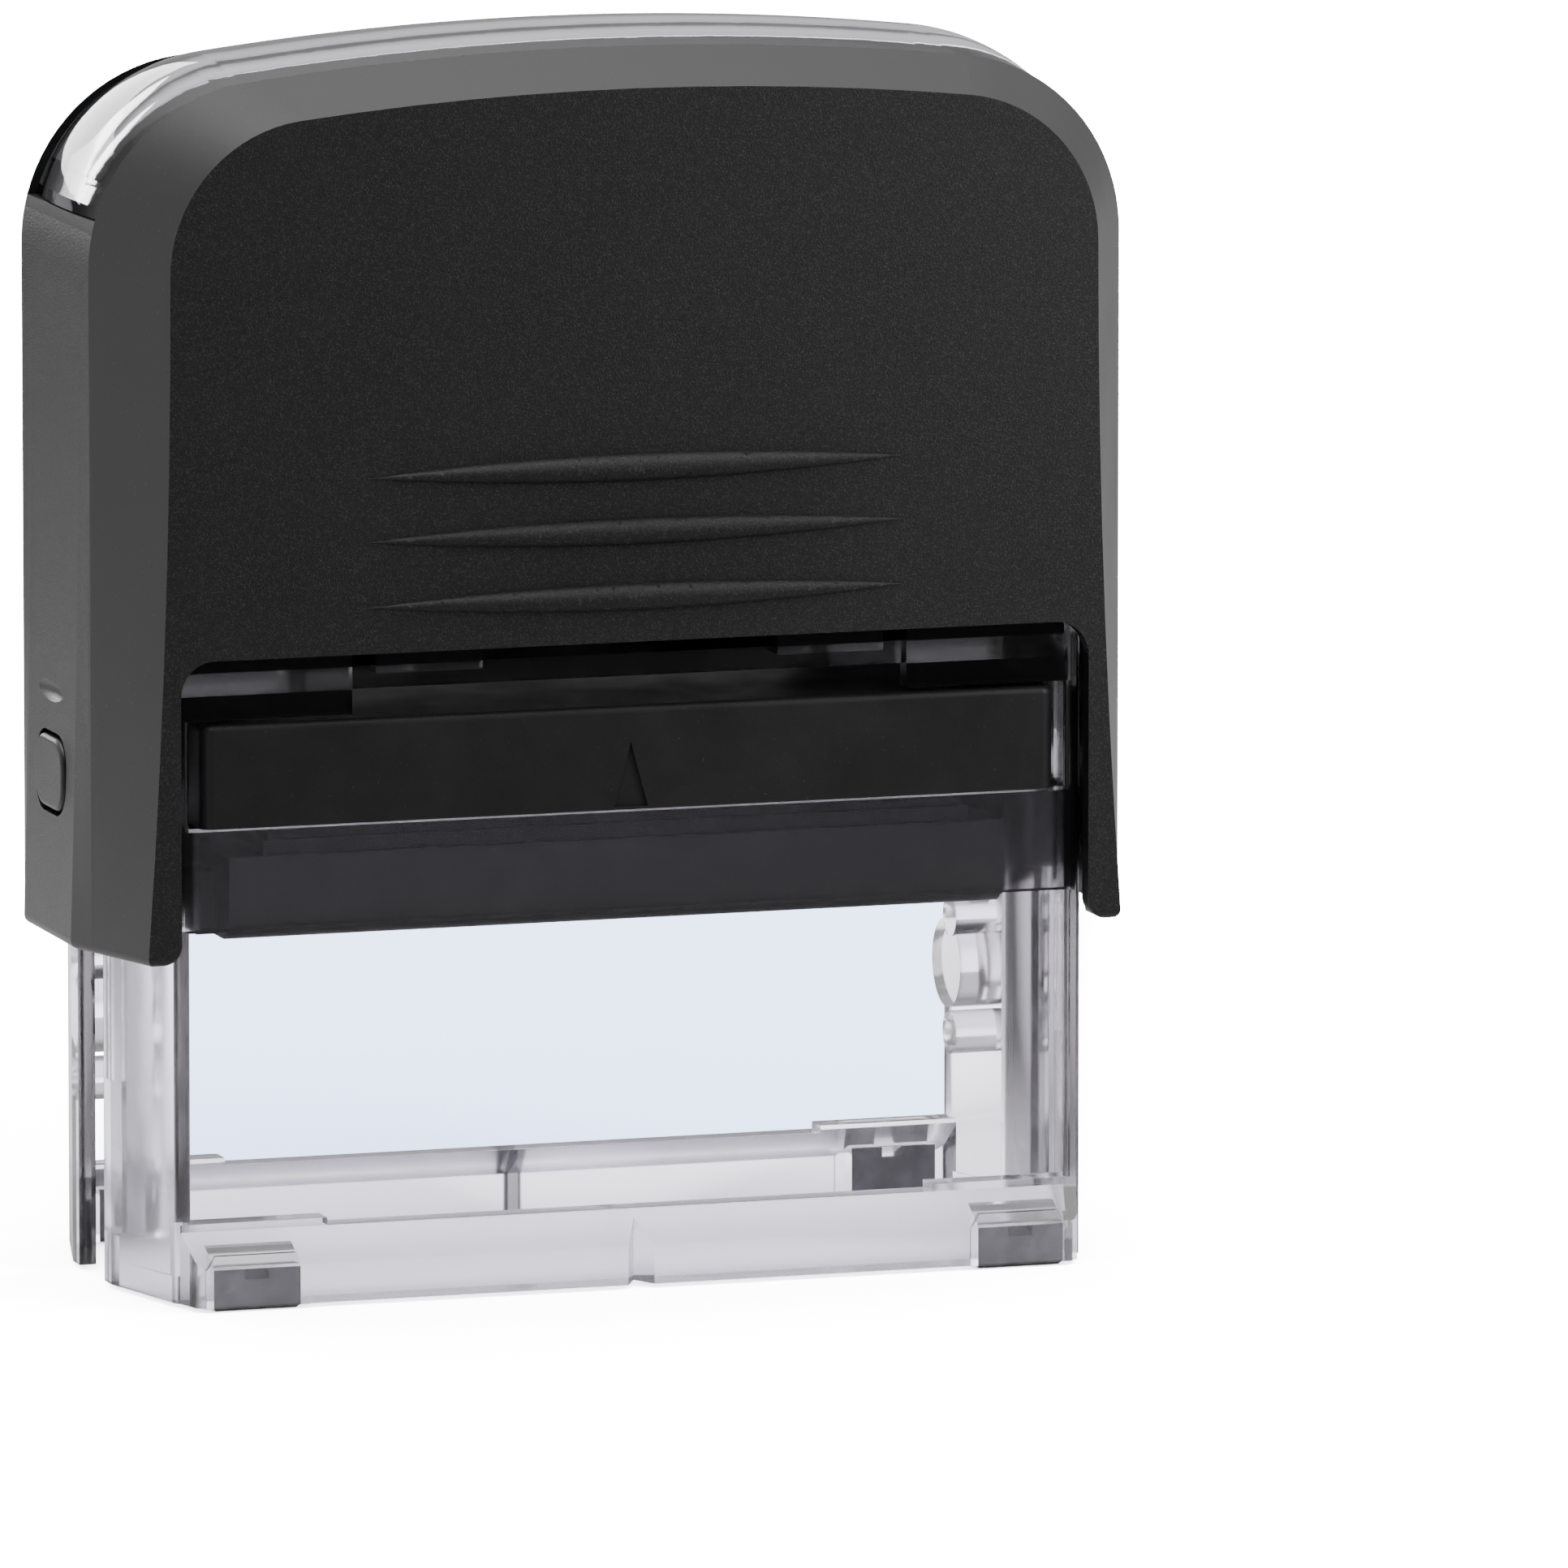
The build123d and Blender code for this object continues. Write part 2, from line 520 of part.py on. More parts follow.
def die_holder():
    z0, z1 = AXIS_Z - HOLDER_DEPTH, AXIS_Z + HOLDER_FACE
    body = block(-HOLDER_HALF_X, HOLDER_HALF_X, -HOLDER_HALF_Y, HOLDER_HALF_Y, z0, z1)
    body = fillet(body.faces().sort_by(Axis.Z)[0].edges().filter_by(Axis.X), 1.0)
    hollow_x0, hollow_x1, hollow_y, hollow_depth = HOLDER_HOLLOWS
    for _, side in BOTH_SIDES:
        body += block(*span(side, HOLDER_HALF_X - 0.5, CHEEK_END_X), *CHEEK_Y, z0, AXIS_Z + CHEEK_TOP)
        body -= block(*span(side, hollow_x0, hollow_x1), -hollow_y, hollow_y, z0 - 1, z0 + hollow_depth)
        body += x_cylinder(JOURNAL_RADIUS, side * (HOLDER_HALF_X - 1), side * JOURNAL_END_X, 0, AXIS_Z)
        body += x_cylinder(PIN_RADIUS, side * JOURNAL_END_X, side * PIN_END_X, 0, AXIS_Z)
    return body


def layer(half, z0, thickness):
    return block(-half[0], half[0], -half[1], half[1], z0, z0 + thickness)


SEAT_Z = AXIS_Z + HOLDER_FACE
CUSHION_Z = SEAT_Z + TEXT_PLATE_THICKNESS
RUBBER_Z = CUSHION_Z + CUSHION_THICKNESS


def rubber_die():
    """Rubber sheet with a plain raised frame and three plain bars."""
    die = layer(RUBBER_HALF, RUBBER_Z, RUBBER_BASE)
    face_z = RUBBER_Z + RUBBER_BASE
    x, y = RUBBER_HALF
    rim_out, rim_in = RELIEF_RIM
    inside = layer((x - rim_in, y - rim_in), face_z - 1, RELIEF + 2)
    die += layer((x - rim_out, y - rim_out), face_z, RELIEF) - inside
    for bar_y, half_length in RELIEF_BARS:
        die += Pos(0, bar_y, 0) * layer((half_length, RELIEF_BAR_HALF_Y), face_z, RELIEF)
    return die


# ------------------------------------------------------------------ write one file per piece

parts = {
    "base_frame": base_frame(),
    "ink_pad_tray": ink_pad_tray(),
    "ink_pad": ink_pad(),
    "ink_pad_cloth": ink_pad_cloth(),
    "outer_casing": outer_casing(),
    "index_card": index_card(),
    "index_window": index_window(),
    "die_holder": die_holder(),
    "text_plate": layer(TEXT_PLATE_HALF, SEAT_Z, TEXT_PLATE_THICKNESS),
    "die_cushion": layer(CUSHION_HALF, CUSHION_Z, CUSHION_THICKNESS),
    "rubber_die": rubber_die(),
}
for side_name, side in BOTH_SIDES:
    parts[f"lock_button_{side_name}"] = lock_button(side)
    parts[f"return_spring_{side_name}"] = return_spring(side)
    for face_name, face in BOTH_FACES:
        parts[f"foot_{face_name}_{side_name}"] = foot(side, face)

os.makedirs("parts", exist_ok=True)
for name, shape in parts.items():
    shape.label = name
    export_step(shape, f"parts/{name}.step")
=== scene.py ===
import math
import bmesh
import bpy
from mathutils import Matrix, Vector


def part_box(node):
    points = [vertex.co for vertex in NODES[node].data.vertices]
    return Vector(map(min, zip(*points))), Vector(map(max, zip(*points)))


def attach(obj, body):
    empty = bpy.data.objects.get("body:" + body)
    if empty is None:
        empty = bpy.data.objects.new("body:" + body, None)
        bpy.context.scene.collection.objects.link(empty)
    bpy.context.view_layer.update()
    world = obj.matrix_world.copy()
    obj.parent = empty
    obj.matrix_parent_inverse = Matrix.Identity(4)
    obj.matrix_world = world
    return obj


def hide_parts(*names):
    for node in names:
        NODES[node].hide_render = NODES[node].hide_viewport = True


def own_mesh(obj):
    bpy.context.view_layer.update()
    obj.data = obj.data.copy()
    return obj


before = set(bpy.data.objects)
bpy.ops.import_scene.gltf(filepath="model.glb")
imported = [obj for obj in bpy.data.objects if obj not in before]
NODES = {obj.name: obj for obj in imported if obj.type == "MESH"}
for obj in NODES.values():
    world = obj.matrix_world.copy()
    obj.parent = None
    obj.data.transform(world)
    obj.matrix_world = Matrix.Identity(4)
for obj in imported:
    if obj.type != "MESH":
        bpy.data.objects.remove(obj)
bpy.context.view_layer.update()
MM = 0.001

# ---- camera: where it stands round the object, and what it looks at ----
CAMERA_AZIMUTH = math.radians(-17.8)
CAMERA_ELEVATION = math.radians(8.85)
CAMERA_DISTANCE = 1.4325
CAMERA_TARGET = Vector((0.0147, 0.0, 0.0306))
CAMERA_LENS = 496.1
CAMERA_SENSOR = 36.0
CAMERA_CLIP = (0.05, 20.0)

# ---- levels of the white surroundings, for each way in which a ray can meet them ----
SEEN_WHITE = 16.0                # seen straight on
WINDOW_SHADOW = 3.6               # painted shadow: the floor seen through the window of the base, darker and cooler than the floor around it
LIT_WHITE = 1.0                  # light that falls on matt surfaces
THROUGH_CLEAR = 3.6              # floor through clear plastic, from straight behind
THROUGH_SKY = 1.2                # room through clear plastic, from straight behind
THROUGH_FRONT = 1.1              # bent back to the front
THROUGH_SIDE = 0.3               # bent to a side
BENEATH_WHITE = 2.6              # floor close under the stamp, through clear plastic
FLOOR_GREY = 0.8                 # the floor's own colour where light falls on it
# cool tint of the painted shadow on the floor seen through the window
WINDOW_SHADOW_TINT = (0.76, 0.90, 1.32)
LILAC_TINT = (1.0, 0.965, 1.05)

# ---- levels in mirror reflections; a pair runs from the left to the right, or from low to high ----
OVERHEAD_WHITE = 6.2
FRONT_DARK = 0.05                # from straight in front
FRONT_SIDE = 0.45                # from the front and to a side
FLOOR_NEAR = 1.4                 # floor close behind the stamp
FLOOR_FAR = (0.03, 0.45)         # floor far behind, from the left to the right
FLOOR_BESIDE = (1.2, 0.85)
HORIZON = (0.1, 0.45)            # room straight behind, just above the floor
HORIZON_BESIDE = (1.3, 0.65)
HIGH = (0.5, 1.8)                # room behind, from half way up to nearly overhead
HIGH_BESIDE = 1.2

# ---- places on the floor, in metres from the stamp; each pair is where a change begins and ends ----
FLOOR_SIZE = 6.0
BENEATH_REACH = (0.04, 0.12)
REFLECTED_REACH = (0.10, 0.36)
FRONT_TO_BACK = (-0.08, 0.05)
WINDOW_EDGE = (0.028, 0.035)     # half width of the strip that the camera sees through the window
WINDOW_NEAR = (0.0, 0.03)
WINDOW_FAR = (0.17, 0.27)

# ---- directions ----
STRAIGHT_CONE = (0.76, 0.97)     # cosine of the angle from straight behind
FRONT_CONE = (-0.95, -0.2)       # the same, for light from the front
BESIDE = (0.4, 0.7)              # how far sideways a direction points, from 0 to 1
STRAIGHT_SIDEWAYS = (-0.1, 0.25)     # left and right end of what lies straight behind
WIDE_SIDEWAYS = (-0.4, 0.4)
FORWARD_SKY = (-0.45, 0.1)       # from the front of the room to the back of it
LOW_SKY = (0.2, 0.5)             # how far up a direction points, from 0 to 1
HIGH_SKY = (0.45, 0.75)
OVERHEAD_SKY = (0.85, 0.93)

# ---- colours of the clear frame: its own tint, and painted shade in places ----
FRAME_TINT = (0.87, 0.86, 0.90, 1)
# painted shade at the ends of the walls, going darker towards the top, where the casing's legs cover them
WALL_END_SHADE = (0.25, 0.24, 0.24, 1)
WALL_END_TOP_SHADE = (0.03, 0.03, 0.03, 1)
# painted shade on the faces by the slots
SLOT_SHADE = (0.05, 0.05, 0.05, 1)
# painted shade in the rear groove, which also lets less light through
GROOVE_SHADE = (0.06, 0.06, 0.065, 1)
GROOVE_CLEAR = 0.25              # how much of the light the groove lets through
# painted shade on the side walls above 24 mm, beside the casing's legs
BAR_SHADE = (0.62, 0.61, 0.63, 1)
# painted shade above the pad, darker still deep inside the casing
SHADE_ABOVE_PAD = (0.03, 0.03, 0.03, 1)
DEEP_SHADE_ABOVE_PAD = (0.002, 0.002, 0.002, 1)

# ---- where those colours begin: a soft step from the first place to the second ----
TRAY_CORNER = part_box("ink_pad_tray")[1]
WALL_X = (29.4 * MM, 29.9 * MM)
WALL_END_Y = (TRAY_CORNER.y - 0.6 * MM, TRAY_CORNER.y - 0.3 * MM)
WALL_END_Z = (5.0 * MM, 6.5 * MM)
WALL_END_TOP_Z = (20.0 * MM, 28.0 * MM)
SLOT_Y = (3.2 * MM, 3.05 * MM)
GROOVE_X = (0.7 * MM, 0.5 * MM)
GROOVE_Y = (TRAY_CORNER.y - 0.1 * MM, TRAY_CORNER.y + 0.2 * MM)
BAR_X = (30.0 * MM, 29.6 * MM)
BAR_Z = (24.0 * MM, 24.8 * MM)
DEEP_X = (19.0 * MM, 18.5 * MM)
DEEP_Y = (11.85 * MM, 11.75 * MM)
SHADE_ABOVE_PAD_Z = (TRAY_CORNER.z - 0.3 * MM, TRAY_CORNER.z + 0.2 * MM)

# ---- casing ----
RIB_HEIGHT = 0.9 * MM
PANEL_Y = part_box("outer_casing")[1].y - RIB_HEIGHT       # the flat panels, inside the grip ribs
PANEL_MARGIN = 0.03 * MM
SIDE_FACING = 0.985              # the side faces point at least this much along X

# ---- pieces ----
CLEAR_IOR = 1.49
SATIN_LEVEL = 0.013
HOLDER_TINT = (1.0, 0.98, 1.03)
COVER_TINT = (0.82, 0.82, 0.83, 1)
INKED_RUBBER_TINT = (0.95, 0.75, 1.4)
FOOT_CLEARANCE = 0.04 * MM       # the rubber and the pocket must not share a face
WIRE_RADIUS = 0.4 * MM
SPRING_TURNS = 11.0
SPRING_RING = 12                 # points round the wire
SPRING_STEPS = 40                # rings of points in each turn
SPRING_END_RISE = 1.8            # rise of both closed end turns together, in wire radii
SHARP_ANGLE = math.radians(28.0)
BOTH_SIDES = ("left", "right")
BOTH_FACES = ("front", "rear")


# ------------------------------------------------------------------ node helpers

def new_material(name):
    """A material with one Principled shader; returns the material, its tree and the shader."""
    material = bpy.data.materials.new(name)
    material.use_nodes = True
    tree = material.node_tree
    return material, tree, tree.nodes["Principled BSDF"]


def feed(tree, socket, value):
    """Links a socket to an input, or sets the input to a plain value."""
    if isinstance(value, bpy.types.NodeSocket):
        tree.links.new(value, socket)
    else:
        socket.default_value = value


def add(tree, kind, **settings):
    """A node with its attributes and inputs set; an input is given as in_NAME or in_NUMBER."""
    node = tree.nodes.new("ShaderNode" + kind)
    for key, value in settings.items():
        if key.startswith("in_"):
            name = key[3:].replace("_", " ")
            feed(tree, node.inputs[int(name)] if name.isdigit() else node.inputs[name], value)
        else:
            setattr(node, key, value)
    return node


def math_node(tree, operation, a, b=0.0):
    """One sum on a or on a and b; some operations take no b."""
    return add(tree, "Math", operation=operation, in_0=a, in_1=b).outputs[0]


def product(tree, first, *others):
    """All the values multiplied."""
    for other in others:
        first = math_node(tree, "MULTIPLY", first, other)
    return first


def object_coordinates(tree):
    return add(tree, "TexCoord").outputs["Object"]


def noise(tree, size, detail, roughness=0.5, stretch=None):
    """Noise whose grains are about size metres across."""
    vector = object_coordinates(tree)
    if stretch:
        vector = add(tree, "Mapping", in_Vector=vector, in_Scale=stretch).outputs[0]
    made = add(tree, "TexNoise", in_Vector=vector, in_Scale=1.0 / size, in_Detail=detail,
               in_Roughness=roughness)
    return made.outputs["Fac"]


def remap(tree, value, given, wanted, smooth=False):
    """The value moved from the given range to the wanted one, and held inside it."""
    kind = "SMOOTHSTEP" if smooth else "LINEAR"
    made = add(tree, "MapRange", interpolation_type=kind, in_0=value, in_1=given[0], in_2=given[1],
               in_3=wanted[0], in_4=wanted[1])
    return made.outputs[0]


def band(tree, value, ends):
    """0 before the first end and 1 after the second, with a soft step between them."""
    return remap(tree, value, ends, (0.0, 1.0), smooth=True)


def mix_colour(tree, factor, a, b):
    """Colour a at factor 0, and b at 1."""
    return add(tree, "Mix", data_type="RGBA", in_0=factor, in_6=a, in_7=b).outputs[2]


def mix_value(tree, factor, a, b):
    """Value a at factor 0, and b at 1."""
    return add(tree, "Mix", data_type="FLOAT", in_0=factor, in_2=a, in_3=b).outputs[0]


def bump(tree, shader, height, depth, strength=0.8):
    """Surface relief: height runs from 0 to 1 and stands for depth metres."""
    made = add(tree, "Bump", in_Strength=strength, in_Distance=depth, in_Height=height)
    tree.links.new(made.outputs[0], shader.inputs["Normal"])


def grey(level, tint=(1.0, 1.0, 1.0)):
    """A grey of that level, times a tint."""
    return (level * tint[0], level * tint[1], level * tint[2], 1.0)


# ------------------------------------------------------------------ materials

def casing_material():
    """Black plastic: spark-textured panels with glints painted in as light specks, a satin bevel, and
    finely textured sides.
    """
    cold = (1.0, 1.0, 1.04)
    material, tree, shader = new_material("casing_black")
    place = add(tree, "SeparateXYZ", in_0=object_coordinates(tree))
    depth = math_node(tree, "ABSOLUTE", place.outputs[1])
    on_panel = math_node(tree, "GREATER_THAN", depth, PANEL_Y - PANEL_MARGIN)
    normal = add(tree, "NewGeometry").outputs["True Normal"]
    sideways = math_node(tree, "ABSOLUTE", add(tree, "SeparateXYZ", in_0=normal).outputs[0])
    on_side = math_node(tree, "GREATER_THAN", sideways, SIDE_FACING)
    textured = math_node(tree, "MAXIMUM", on_panel, on_side)

    speck = remap(tree, noise(tree, 0.09 * MM, detail=1.0), (0.54, 0.70), (0.0, 1.0))
    dust = remap(tree, noise(tree, 0.22 * MM, detail=0.0), (0.80, 0.84), (0.0, 0.6))
    blotch = noise(tree, 7.0 * MM, detail=3.0)
    base = mix_colour(tree, blotch, grey(0.004), grey(0.006, (1.0, 1.0, 1.06)))
    # painted glints: light specks in the colour, strong on the panels and faint elsewhere; real dust
    # shares their grey
    painted_glint = product(tree, speck, mix_value(tree, on_panel, 0.08, 0.9))
    base = mix_colour(tree, math_node(tree, "MAXIMUM", painted_glint, dust), base, grey(0.033, cold))
    tree.links.new(base, shader.inputs["Base Color"])

    bevel_rough, side_rough, panel_rough, blotch_rough = 0.36, 0.33, 0.5, 0.08
    rough = mix_value(tree, on_panel, mix_value(tree, on_side, bevel_rough, side_rough), panel_rough)
    rough = math_node(tree, "ADD", rough, product(tree, blotch, blotch_rough))
    tree.links.new(rough, shader.inputs["Roughness"])
    shader.inputs["Specular IOR Level"].default_value = 0.5

    spark = noise(tree, 0.13 * MM, detail=3.0, roughness=0.7)
    bump(tree, shader, product(tree, spark, mix_value(tree, textured, 0.12, 1.0)), 0.06 * MM)
    return material


def satin_black(name, specular, roughness, tint=(1, 1, 1)):
    """Plain moulded black plastic with a fine grain, faint flow marks and a few light specks."""
    darker, lighter, speck_level = 0.8, 1.25, 5
    material, tree, shader = new_material(name)
    flow = noise(tree, 5.0 * MM, detail=4.0, roughness=0.6)
    speck = remap(tree, noise(tree, 0.18 * MM, detail=1.0), (0.72, 0.80), (0.0, 0.5))
    base = mix_colour(tree, flow, grey(SATIN_LEVEL * darker, tint), grey(SATIN_LEVEL * lighter, tint))
    base = mix_colour(tree, speck, base, grey(SATIN_LEVEL * speck_level, tint))
    tree.links.new(base, shader.inputs["Base Color"])
    rough = remap(tree, flow, (0.3, 0.7), (roughness - 0.05, roughness + 0.07))
    tree.links.new(rough, shader.inputs["Roughness"])
    shader.inputs["Specular IOR Level"].default_value = specular
    bump(tree, shader, noise(tree, 0.2 * MM, detail=3.0), 0.008 * MM)
    return material


def colour_frame(tree, shader):
    """Paints shade into the clear frame: dark above the pad and darker deep inside, dark at the ends of
    its walls, by the slots, in the rear groove and beside the casing's legs.
    """
    place = add(tree, "SeparateXYZ", in_0=object_coordinates(tree))
    to_rear = place.outputs[1]
    x = math_node(tree, "ABSOLUTE", place.outputs[0])
    y = math_node(tree, "ABSOLUTE", to_rear)
    z = place.outputs[2]
    on_wall = band(tree, x, WALL_X)
    at_end = product(tree, on_wall, band(tree, y, WALL_END_Y), band(tree, z, WALL_END_Z))
    at_slot = product(tree, on_wall, band(tree, y, SLOT_Y))
    in_groove = product(tree, band(tree, x, GROOVE_X), band(tree, to_rear, GROOVE_Y))
    in_bar = product(tree, band(tree, x, BAR_X), band(tree, z, BAR_Z))
    deep = product(tree, band(tree, x, DEEP_X), band(tree, y, DEEP_Y))

    # painted shade at the ends of the walls, darker towards the top
    wall_end_shade = mix_colour(tree, band(tree, z, WALL_END_TOP_Z), WALL_END_SHADE, WALL_END_TOP_SHADE)
    colour = mix_colour(tree, at_end, FRAME_TINT, wall_end_shade)
    # painted shade by the slots
    colour = mix_colour(tree, at_slot, colour, SLOT_SHADE)
    # painted shade in the rear groove
    colour = mix_colour(tree, in_groove, colour, GROOVE_SHADE)
    # painted shade on the side walls beside the casing's legs
    colour = mix_colour(tree, in_bar, colour, BAR_SHADE)
    # painted shade above the pad, darkest deep inside the casing
    pad_shade = mix_colour(tree, deep, SHADE_ABOVE_PAD, DEEP_SHADE_ABOVE_PAD)
    colour = mix_colour(tree, band(tree, z, SHADE_ABOVE_PAD_Z), colour, pad_shade)
    tree.links.new(colour, shader.inputs["Base Color"])
    clear = remap(tree, in_groove, (0.0, 1.0), (1.0, GROOVE_CLEAR))
    tree.links.new(clear, shader.inputs["Transmission Weight"])


def clear_material(name, tint, roughness, ripple):
    """Clear moulded plastic, with slow waves from the mould and a slightly uneven polish."""
    material, tree, shader = new_material(name)
    shader.inputs["Base Color"].default_value = tint
    shader.inputs["Transmission Weight"].default_value = 1.0
    shader.inputs["IOR"].default_value = CLEAR_IOR
    haze = noise(tree, 7.0 * MM, detail=4.0, roughness=0.6)
    tree.links.new(remap(tree, haze, (0.35, 0.75), roughness, smooth=True), shader.inputs["Roughness"])
    waves = noise(tree, 5.0 * MM, detail=2.0, stretch=(1.0, 1.0, 0.35))
    bump(tree, shader, waves, ripple, strength=1.0)
    return material


def frame_material():
    """The clear plastic of the base, with its own colours from place to place."""
    material = clear_material("clear_frame", FRAME_TINT, roughness=(0.10, 0.2), ripple=0.02 * MM)
    tree = material.node_tree
    colour_frame(tree, tree.nodes["Principled BSDF"])
    return material


def rubber_material(name, level, roughness, tint=(1, 1, 1)):
    """Matt rubber with a fine pitted skin and a paler bloom in patches."""
    paler = 1.9
    material, tree, shader = new_material(name)
    bloom = noise(tree, 1.6 * MM, detail=4.0, roughness=0.65)
    patches = remap(tree, bloom, (0.4, 0.7), (0.0, 1.0))
    base = mix_colour(tree, patches, grey(level, tint), grey(level * paler, tint))
    tree.links.new(base, shader.inputs["Base Color"])
    rough = remap(tree, bloom, (0.3, 0.7), (roughness - 0.08, roughness + 0.1))
    tree.links.new(rough, shader.inputs["Roughness"])
    shader.inputs["Specular IOR Level"].default_value = 0.35
    bump(tree, shader, noise(tree, 0.12 * MM, detail=3.0, roughness=0.7), 0.012 * MM, strength=0.9)
    return material


def inked_cloth_material(name, strength):
    """Woven cloth soaked in violet ink, wetter in patches."""
    thread = 0.32 * MM
    waves_to_thread = 0.314          # a wave texture of scale 1 has bands this far apart
    violet = grey(strength, (0.16, 0.035, 0.42))
    deep = grey(strength, (0.05, 0.010, 0.16))
    material, tree, shader = new_material(name)
    across = [
        add(tree, "TexWave", wave_type="BANDS", bands_direction=axis, in_Vector=object_coordinates(tree),
            in_Scale=waves_to_thread / thread).outputs["Fac"]
        for axis in "XY"
    ]
    weave = product(tree, *across)
    wet = noise(tree, 4.0 * MM, detail=4.0, roughness=0.6)
    shade = product(tree, remap(tree, weave, (0.0, 1.0), (0.45, 1.0)), wet)
    tree.links.new(mix_colour(tree, shade, deep, violet), shader.inputs["Base Color"])
    rough = remap(tree, wet, (0.4, 0.65), (0.75, 0.32), smooth=True)
    tree.links.new(rough, shader.inputs["Roughness"])
    shader.inputs["Sheen Weight"].default_value = 0.15
    bump(tree, shader, weave, 0.05 * MM)
    return material


def steel_material():
    """Bright drawn spring wire, with fine marks along it."""
    material, tree, shader = new_material("spring_wire")
    marks = noise(tree, 0.25 * MM, detail=5.0, roughness=0.7)
    base = mix_colour(tree, marks, grey(0.42), grey(0.62, (1.0, 0.99, 0.97)))
    tree.links.new(base, shader.inputs["Base Color"])
    shader.inputs["Metallic"].default_value = 1.0
    tree.links.new(remap(tree, marks, (0.3, 0.7), (0.2, 0.38)), shader.inputs["Roughness"])
    bump(tree, shader, marks, 0.006 * MM, strength=0.6)
    return material


def sheet_material(name, level, roughness, fibre):
    """Card or foam: fibres or cells of the given size."""
    darker, lighter = 0.75, 1.25
    material, tree, shader = new_material(name)
    fibres = noise(tree, fibre, detail=5.0, roughness=0.7, stretch=(0.5, 1.0, 1.0))
    base = mix_colour(tree, fibres, grey(level * darker), grey(level * lighter))
    tree.links.new(base, shader.inputs["Base Color"])
    rough = remap(tree, fibres, (0.3, 0.7), (roughness - 0.08, roughness + 0.1))
    tree.links.new(rough, shader.inputs["Roughness"])
    bump(tree, shader, fibres, 0.01 * MM, strength=0.6)
    return material


def paint(material, *pieces):
    """Gives the material to each piece, alone."""
    for piece in pieces:
        piece.data.materials.clear()
        piece.data.materials.append(material)


def paint_nodes(material, *names):
    paint(material, *[NODES[name] for name in names])


# ------------------------------------------------------------------ pieces

def smooth_edges(node, width, segments=3):
    """Rounds the sharp edges of a CAD node."""
    piece = NODES[node]
    for polygon in piece.data.polygons:
        polygon.use_smooth = True
    edge = piece.modifiers.new("edge_round", "BEVEL")
    edge.width = width
    edge.segments = segments
    edge.limit_method = "ANGLE"
    edge.angle_limit = SHARP_ANGLE
    edge.use_clamp_overlap = True
    edge.harden_normals = True


def shrink_foot(node):
    """Draws the rubber a hair inside its pocket, so that the clear plastic doesn't touch it."""
    shrink = NODES[node].modifiers.new("clear_of_pocket", "DISPLACE")
    shrink.mid_level = 0.0
    shrink.strength = -FOOT_CLEARANCE


def coil_point(low, high, turned):
    """Middle of the wire, and the direction away from the axis, at a share of the way up the coil."""
    centre = (low + high) / 2
    radius = (high.x - low.x) / 2 - WIRE_RADIUS
    bottom = low.z + WIRE_RADIUS
    height = high.z - low.z - 2 * WIRE_RADIUS
    end_share = 1.0 / SPRING_TURNS
    end_rise = SPRING_END_RISE * WIRE_RADIUS
    in_ends = min(turned, end_share) + max(turned - 1 + end_share, 0.0)
    open_share = min(max((turned - end_share) / (1 - 2 * end_share), 0.0), 1.0)
    z = bottom + end_rise * in_ends / (2 * end_share) + (height - end_rise) * open_share
    angle = 2 * math.pi * SPRING_TURNS * turned
    outward = Vector((math.cos(angle), math.sin(angle), 0.0))
    return Vector((centre.x, centre.y, z)) + outward * radius, outward


def coil_mesh(name, low, high):
    """Compression spring in the box from low to high, with closed end turns and open turns between."""
    up = Vector((0, 0, 1))
    shape = bmesh.new()
    rings = []
    steps = int(SPRING_TURNS * SPRING_STEPS)
    for step in range(steps + 1):
        middle, outward = coil_point(low, high, step / steps)
        ring = []
        for corner in range(SPRING_RING):
            angle = 2 * math.pi * corner / SPRING_RING
            ring.append(shape.verts.new(
                middle + WIRE_RADIUS * (math.cos(angle) * outward + math.sin(angle) * up)))
        rings.append(ring)
    for here, there in zip(rings, rings[1:]):
        for k in range(SPRING_RING):
            after = (k + 1) % SPRING_RING
            shape.faces.new((here[k], here[after], there[after], there[k]))
    shape.faces.new(rings[0])
    shape.faces.new(list(reversed(rings[-1])))
    bmesh.ops.recalc_face_normals(shape, faces=shape.faces)
    mesh = bpy.data.meshes.new(name)
    shape.to_mesh(mesh)
    shape.free()
    for polygon in mesh.polygons:
        polygon.use_smooth = True
    return mesh


def make_springs():
    """A coil of wire in place of each plain CAD spring."""
    steel = steel_material()
    for side in BOTH_SIDES:
        node = f"return_spring_{side}"
        low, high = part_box(node)
        name = f"spring_coil_{side}"
        piece = bpy.data.objects.new(name, coil_mesh(name, low, high))
        bpy.context.scene.collection.objects.link(piece)
        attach(piece, "base")
        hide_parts(node)
        paint(steel, piece)
        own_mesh(piece)


# ------------------------------------------------------------------ studio

def through_level(tree, straight, brightest):
    """Light that reaches clear plastic: bright from straight behind, dark from the sides."""
    front = remap(tree, straight, FRONT_CONE, (THROUGH_FRONT, THROUGH_SIDE), smooth=True)
    back = remap(tree, straight, STRAIGHT_CONE, (0.0, brightest), smooth=True)
    return math_node(tree, "MAXIMUM", front, back)


